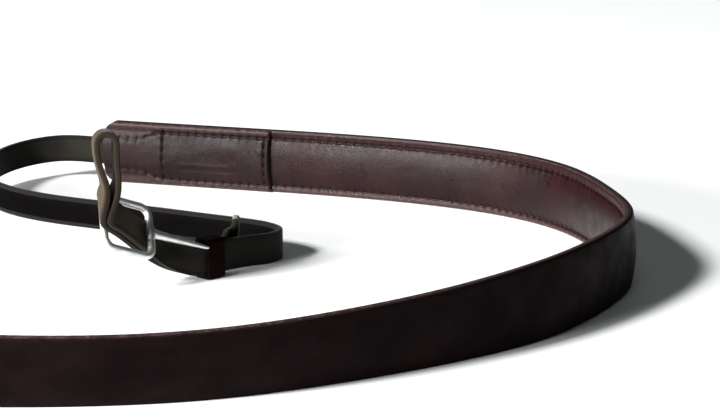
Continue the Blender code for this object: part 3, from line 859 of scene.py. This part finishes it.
def buckle(strap, name, material):
    """The wire frame, its tongue, and the small collar of solder where the tongue meets the near bar."""
    flat = Matrix((strap.buckle_ahead, strap.buckle_up, strap.buckle_face)).transposed()
    middle = Vector((BUCKLE_LONG / 2, 0, 0))
    outline = rounded(BUCKLE_LONG / 2, BUCKLE_HIGH / 2, BUCKLE_CORNER, 9)
    line = [strap.bar + flat @ (middle + Vector((x, y, 0))) for x, y in outline]
    mesh = bmesh.new()
    add_tube(mesh, line, [WIRE / 2] * len(line), closed=True)
    tip_front = STRAP_THICK / 2 + FIT + TONGUE_TIP / 2 + KEEPER_THICK
    tip = strap.local(KEEPER_LENGTH / 2 + FIT, tip_front, STRAP_WIDTH * TONGUE_TIP_UP)
    shares = [0.0, 0.05, 0.12, 0.3, 0.5, 0.7, 0.85, 0.93, 0.97, 0.99, 1.0]
    swell = [1.05, 1.04, 1.0, 1.0, 1.0, 1.0, 1.0, 1.0, 0.9, 0.7, 0.35]
    radii = [s * (TONGUE_ROOT + (TONGUE_TIP - TONGUE_ROOT) * share) / 2 for share, s in zip(shares, swell)]
    add_tube(mesh, [strap.bar.lerp(tip, share) for share in shares], radii)
    collar = [strap.bar + strap.buckle_up * x for x in np.linspace(-COLLAR_HALF, COLLAR_HALF, 9)]
    bulge = [WIRE / 2 + COLLAR_RISE * math.sin(math.pi * k / 8) ** 0.5 for k in range(9)]
    add_tube(mesh, collar, bulge)
    bmesh.ops.recalc_face_normals(mesh, faces=mesh.faces)
    data = bpy.data.meshes.new(name)
    mesh.to_mesh(data)
    mesh.free()
    data.materials.append(material)
    data.shade_smooth()
    data.set_sharp_from_angle(angle=SHARP_ANGLE)
    return placed(name, data)


class Nodes:
    """Shorthand for building one material's node tree."""

    def __init__(self, name):
        self.made = bpy.data.materials.new(name)
        self.made.use_nodes = True
        self.tree = self.made.node_tree
        self.shader = self.tree.nodes["Principled BSDF"]

    def add(self, kind, **values):
        node = self.tree.nodes.new(kind)
        for key, value in values.items():
            setattr(node, key, value)
        return node

    def link(self, source, target):
        """Links an output to a socket. A number or a colour is set on the socket itself."""
        if isinstance(source, tuple):
            target.default_value = (*source, 1)
        elif isinstance(source, (int, float)):
            target.default_value = source
        else:
            self.tree.links.new(source, target)

    def noise(self, place, scale, detail, rough, distort=0.0):
        node = self.add("ShaderNodeTexNoise")
        node.inputs["Scale"].default_value = scale
        node.inputs["Detail"].default_value = detail
        node.inputs["Roughness"].default_value = rough
        node.inputs["Distortion"].default_value = distort
        self.link(place, node.inputs["Vector"])
        return node.outputs["Fac"]

    def cells(self, place, scale):
        """How far a place is from the edge of its cell."""
        node = self.add("ShaderNodeTexVoronoi", feature="DISTANCE_TO_EDGE")
        node.inputs["Scale"].default_value = scale
        self.link(place, node.inputs["Vector"])
        return node.outputs["Distance"]

    def span(self, value, low, high, to_low=0.0, to_high=1.0):
        """The value eased from to_low, where it is low, to to_high, where it is high."""
        node = self.add("ShaderNodeMapRange", interpolation_type="SMOOTHSTEP")
        node.inputs["From Min"].default_value = low
        node.inputs["From Max"].default_value = high
        node.inputs["To Min"].default_value = to_low
        node.inputs["To Max"].default_value = to_high
        self.link(value, node.inputs["Value"])
        return node.outputs["Result"]

    def math(self, operation, a, b):
        node = self.add("ShaderNodeMath", operation=operation)
        for socket, value in zip(node.inputs, (a, b)):
            self.link(value, socket)
        return node.outputs[0]

    def mix(self, share, a, b):
        node = self.add("ShaderNodeMix", data_type="RGBA")
        for socket, value in (("Factor", share), ("A", a), ("B", b)):
            self.link(value, node.inputs[socket])
        return node.outputs["Result"]

    def stretched(self, place, size):
        """Places scaled by their own amount each way."""
        node = self.add("ShaderNodeMapping")
        node.inputs["Scale"].default_value = size
        self.link(place, node.inputs["Vector"])
        return node.outputs["Vector"]

    def bump(self, height, strength, distance, before=None):
        node = self.add("ShaderNodeBump")
        node.inputs["Strength"].default_value = strength
        node.inputs["Distance"].default_value = distance
        self.link(height, node.inputs["Height"])
        if before is not None:
            self.link(before, node.inputs["Normal"])
        return node.outputs["Normal"]

    def places(self):
        """The object's own places in metres, and the flat uv: length along the strip, height across it."""
        coordinates = self.add("ShaderNodeTexCoord")
        return coordinates.outputs["Object"], coordinates.outputs["UV"]

    def parts(self, place):
        """The three numbers of a place."""
        split = self.add("ShaderNodeSeparateXYZ")
        self.link(place, split.inputs["Vector"])
        return split.outputs["X"], split.outputs["Y"], split.outputs["Z"]

    def away(self, value, line):
        """How far a value is from a line, on either side."""
        return self.math("ABSOLUTE", self.math("SUBTRACT", value, line), 0.0)

    def finish(self, color, roughness, normal=None, shine=None):
        """Gives the shader its colour, roughness and bumps, and a specular level of its own."""
        inputs = self.shader.inputs
        self.link(color, inputs["Base Color"])
        self.link(roughness, inputs["Roughness"])
        if normal is not None:
            self.link(normal, inputs["Normal"])
        if shine is not None:
            inputs["Specular IOR Level"].default_value = shine
        return self.made


def holes(n, length, off, line):
    """Painted shade in the needle holes of one row of stitches, every pitch along it."""
    beat = n.math("COSINE", n.math("MULTIPLY", length, 2 * math.pi / STITCH_PITCH), 0.0)
    near = n.span(n.away(off, line), 0.00025, 0.00070, 1.0, 0.0)
    return n.math("MULTIPLY", near, n.span(beat, 0.45, 0.90))


def grain_leather(
    name, dark, light, margin, rough, grain, wrinkle, shine, rows=(), cross=(), steps=(), floor_reflection=0.0
):
    """Fine-grained leather, in soft patches of two tones and with its own tone outside the stitches.

    rows and cross are the stitch rows along and across it, steps the corners under a folded edge that get
    painted shade, and the last argument says how pale a painted reflection of the floor makes its lower
    edge. grain counts the pores, wrinkle is the strength of the creases across it, and shine is its specular
    level."""
    n = Nodes(name)
    place, flat = n.places()
    length, height, _ = n.parts(flat)
    patches = n.noise(place, 55, 4, 0.6)
    fine = n.noise(place, 1100, 3, 0.6)
    color = n.mix(n.span(patches, 0.35, 0.68), dark, light)
    near_edge = n.math("MINIMUM", height, n.math("SUBTRACT", BAND_WIDTH, height))
    edge = n.span(n.math("ADD", near_edge, n.math("MULTIPLY", fine, 0.0006)), 0.0024, 0.0042, 1.0, 0.0)
    color = n.mix(n.math("MULTIPLY", edge, n.span(patches, 0.3, 0.6, 0.6, 1.0)), color, margin)
    # Painted reflection of the floor: the strip below the lower stitches is paled towards the edge.
    color = n.mix(n.span(height, 0.0004, STITCH_LOW - 0.0003, floor_reflection, 0.0), color, PAINTED_FLOOR_REFLECTION)
    # Painted shade darkens each needle hole of the rows along and across.
    for line in rows:
        color = n.mix(holes(n, length, height, line), color, HOLE_PAINTED_SHADE)
    for line in cross:
        color = n.mix(holes(n, height, length, line), color, HOLE_PAINTED_SHADE)
    # Painted shade in the corner of the leather under each folded patch end.
    for line in steps:
        color = n.mix(n.span(n.away(length, line), 0.0005, 0.0011, 0.9, 0.0), color, PAINTED_STEP_SHADE)
    pores = n.cells(place, grain)
    color = n.mix(n.span(pores, 0.0, 0.14, 0.5, 0.0), color, tuple(c * 0.4 for c in dark))
    roughness = n.span(n.noise(place, 120, 3, 0.6), 0.3, 0.7, rough - 0.07, rough + 0.09)
    creases = n.noise(n.stretched(flat, (260, 900, 1)), 1.0, 4, 0.62, 0.6)
    normal = n.bump(n.span(pores, 0.0, 0.35), 0.40, 0.00011)
    normal = n.bump(fine, 0.24, 0.00010, normal)
    normal = n.bump(creases, wrinkle, 0.00035, normal)
    return n.finish(color, roughness, normal, shine)


def edge_paint(name, dark, light):
    """The burnished, slightly uneven cut edge."""
    n = Nodes(name)
    place, _ = n.places()
    uneven = n.noise(place, 600, 4, 0.6)
    color = n.mix(n.span(uneven, 0.35, 0.7), dark, light)
    roughness = n.span(uneven, 0.3, 0.7, 0.40, 0.62)
    return n.finish(color, roughness, n.bump(uneven, 0.5, 0.00015), 0.15)


def suede(name, dark, light, lit_and_worn_tone=(0, 0, 0), lit_and_worn_share=0.0):
    """The napped flesh side of the narrow strap, paler and browner up on its raised parts at its loop and
    its buckle: painted light, with some wear.
    """
    n = Nodes(name)
    place, flat = n.places()
    length, _, _ = n.parts(flat)
    _, _, raised = n.parts(place)
    patches = n.noise(place, 130, 4, 0.65)
    fibres = n.noise(n.stretched(flat, (1400, 2600, 1)), 1.0, 3, 0.7)
    nap = n.noise(place, 2600, 2, 0.6)
    color = n.mix(n.span(patches, 0.32, 0.70), dark, light)
    past_root = n.span(length, 0.08, 0.10)
    # Painted light with some wear: the raised parts past the root are mixed towards the paler, browner tone.
    lit_and_worn_mask = n.math("MULTIPLY", n.span(raised, 0.0112, 0.0150, 0.0, lit_and_worn_share), past_root)
    color = n.mix(lit_and_worn_mask, color, lit_and_worn_tone)
    color = n.mix(n.span(fibres, 0.45, 0.75, 0.0, 0.35), color, tuple(c * 1.9 for c in light))
    n.shader.inputs["Sheen Weight"].default_value = 0.08
    n.shader.inputs["Sheen Roughness"].default_value = 0.45
    roughness = n.span(patches, 0.3, 0.7, 0.72, 0.90)
    return n.finish(color, roughness, n.bump(nap, 0.5, 0.00012, n.bump(fibres, 0.4, 0.00012)), 0.10)


def thread_material(name, dark, light):
    """Waxed thread, its strands seen as a fine twist."""
    n = Nodes(name)
    place, _ = n.places()
    twist = n.noise(place, 3200, 2, 0.5)
    return n.finish(n.mix(n.span(twist, 0.35, 0.65), dark, light), 0.6, n.bump(twist, 0.6, 0.0001), 0.12)


def nickel(name, clean, scuffed):
    """Bright plated wire with faint drawing marks and small scuffs."""
    n = Nodes(name)
    place, _ = n.places()
    scuffs = n.noise(place, 420, 5, 0.7)
    marks = n.noise(n.stretched(place, (900, 900, 5200)), 1.0, 2, 0.6)
    n.shader.inputs["Metallic"].default_value = 1.0
    color = n.mix(n.span(scuffs, 0.4, 0.75), clean, scuffed)
    return n.finish(color, n.span(scuffs, 0.35, 0.75, 0.42, 0.58), n.bump(marks, 0.12, 0.00005))


def floor_material(name, dark, light):
    """A plain pale table top."""
    n = Nodes(name)
    place, _ = n.places()
    return n.finish(n.mix(n.noise(place, 3.0, 3, 0.5), dark, light), 0.55)


def finished(obj, slot_name, *nodes):
    """Puts a piece on the root body and hides the model's nodes that it stands for; slot_name is not used.
    """
    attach(obj, "root")
    if nodes:
        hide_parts(*nodes)
    return obj


def set_up_light():
    """The lights of the table above, and a world that gives little, so that the shadows stay deep."""
    for name, place, aim, size, watts, color in LIGHTS:
        data = bpy.data.lights.new(name, "AREA")
        data.shape = "RECTANGLE"
        data.size, data.size_y = size
        data.energy = watts
        data.color = color
        obj = placed(name, data)
        obj.location = place
        obj.rotation_euler = (Vector(aim) - Vector(place)).to_track_quat("-Z", "Y").to_euler()
    world = bpy.data.worlds.new("studio")
    bpy.context.scene.world = world
    world.use_nodes = True
    background = world.node_tree.nodes["Background"]
    background.inputs["Color"].default_value = (*PALE_GREEN, 1)
    background.inputs["Strength"].default_value = 0.02
    bpy.context.scene.view_settings.view_transform = "Standard"


def set_up_camera():
    """A long lens, low in front of the strap and tilted down to it."""
    data = bpy.data.cameras.new("camera")
    data.lens = CAMERA_LENS
    data.sensor_width = CAMERA_FILM
    data.clip_start = 0.02
    obj = placed("camera", data)
    obj.location = (CAMERA_ACROSS + SHIFT[0], CAMERA_BACK + SHIFT[1], CAMERA_HIGH)
    obj.rotation_euler = (CAMERA_TILT, 0, 0)
    bpy.context.scene.camera = obj


def set_up_floor():
    mesh = bpy.data.meshes.new("floor")
    half = FLOOR_SIZE / 2
    corners = [(-half, -half, 0), (half, -half, 0), (half, half, 0), (-half, half, 0)]
    mesh.from_pydata(corners, [], [(0, 1, 2, 3)])
    mesh.materials.append(floor_material("floor", (0.86, 0.87, 0.88), (0.90, 0.90, 0.90)))
    obj = placed("floor", mesh)
    obj.location.z = -0.0001


band = band_path()
outer_grain = grain_leather(
    "outer_grain", (0.0042, 0.0019, 0.0022), (0.0084, 0.0040, 0.0045),
    margin=(0.007, 0.0035, 0.0035),
    rough=0.46, grain=1700, wrinkle=0.06, shine=0.015,
)
lining_grain = grain_leather(
    "lining_grain", (0.0074, 0.0015, 0.0018), (0.0138, 0.0032, 0.0034),
    margin=(0.0150, 0.0038, 0.0036),
    rough=0.33, grain=1800, wrinkle=0.10, shine=0.12,
    rows=(STITCH_LOW, STITCH_HIGH),
    # Painted shade in the lining's corners under the two patches' folded ends.
    steps=(PATCH_LENGTH, band.length - PATCH_LENGTH),
    floor_reflection=0.7,
)
patch_grain = grain_leather(
    "patch_grain", (0.0066, 0.0018, 0.0022), (0.0118, 0.0035, 0.0039),
    margin=(0.0150, 0.0046, 0.0046),
    rough=0.40, grain=1800, wrinkle=0.22, shine=0.11,
    rows=(STITCH_LOW, STITCH_HIGH),
    cross=(PATCH_LENGTH - PATCH_ROW, PATCH_LENGTH - PATCH_CROSS),
    floor_reflection=0.5,
)
strap_grain = grain_leather(
    "strap_grain", (0.0008, 0.0006, 0.0007), (0.0018, 0.0013, 0.0014),
    margin=(0.002, 0.0015, 0.0015),
    rough=0.50, grain=1800, wrinkle=0.15, shine=0.01,
)
keeper_grain = grain_leather(
    "keeper_grain", (0.0032, 0.0006, 0.0007), (0.0065, 0.0013, 0.0015),
    margin=(0.0065, 0.0018, 0.0018),
    rough=0.45, grain=1700, wrinkle=0.25, shine=0.015,
)
# The strap's and its raw edges' raised parts get a paler, browner tone: painted light with some wear.
strap_suede = suede(
    "strap_suede", (0.0042, 0.0038, 0.0026), (0.0095, 0.0086, 0.0056),
    lit_and_worn_tone=(0.042, 0.028, 0.0145), lit_and_worn_share=0.9,
)
raw_edge = suede(
    "raw_edge", (0.0020, 0.0016, 0.0012), (0.0050, 0.0040, 0.0029),
    lit_and_worn_tone=(0.022, 0.0150, 0.0085), lit_and_worn_share=0.8,
)
# Painted highlight: the pale tone of the tail's tip, over the cut leather's own tone.
pale_tip_highlight = suede("pale_tip_highlight", (0.16, 0.15, 0.13), (0.26, 0.25, 0.22))
dark_edge = edge_paint("dark_edge", (0.0045, 0.0025, 0.0026), (0.010, 0.0055, 0.0056))
lining_edge = edge_paint("lining_edge", (0.020, 0.0095, 0.0095), (0.060, 0.036, 0.034))
thread = thread_material("thread", (0.0060, 0.0022, 0.0022), (0.0150, 0.0055, 0.0050))
wire_nickel = nickel("wire_nickel", (0.70, 0.72, 0.71), (0.54, 0.55, 0.54))

finished(outer_band(band, [outer_grain, dark_edge]), "outer_leather", "outer_band")
finished(lining_band(band, [lining_grain, lining_edge]), "lining_leather", "lining_band")
finished(band_stitches(band, thread), "lining_leather")
for end, side in (("a", 1), ("b", -1)):
    cover = Patch(band, side)
    patch = cover.solid(f"sewn_patch_{end}", [patch_grain, lining_edge])
    finished(patch, "lining_leather", f"end_patch_{end}")
    finished(patch_stitches(cover, f"patch_stitches_{end}", thread), "lining_leather")
for end, route, place, side in (("a", STRAP_ROUTE_A, KEEPER_A, 1), ("b", STRAP_ROUTE_B, KEEPER_B, -1)):
    strap = Strap(band, end, route, place, side)
    faces = [strap_suede, strap_grain] if side > 0 else [strap_grain, strap_suede]
    faces += [raw_edge, pale_tip_highlight]
    finished(strap.solid(f"adjusting_strap_{end}", faces), "strap_leather", f"narrow_strap_{end}")
    finished(keeper(strap, f"leather_keeper_{end}", keeper_grain), "lining_leather", f"keeper_{end}")
    finished(buckle(strap, f"wire_buckle_{end}", wire_nickel), "nickel", f"buckle_{end}")

set_up_floor()
set_up_light()
set_up_camera()
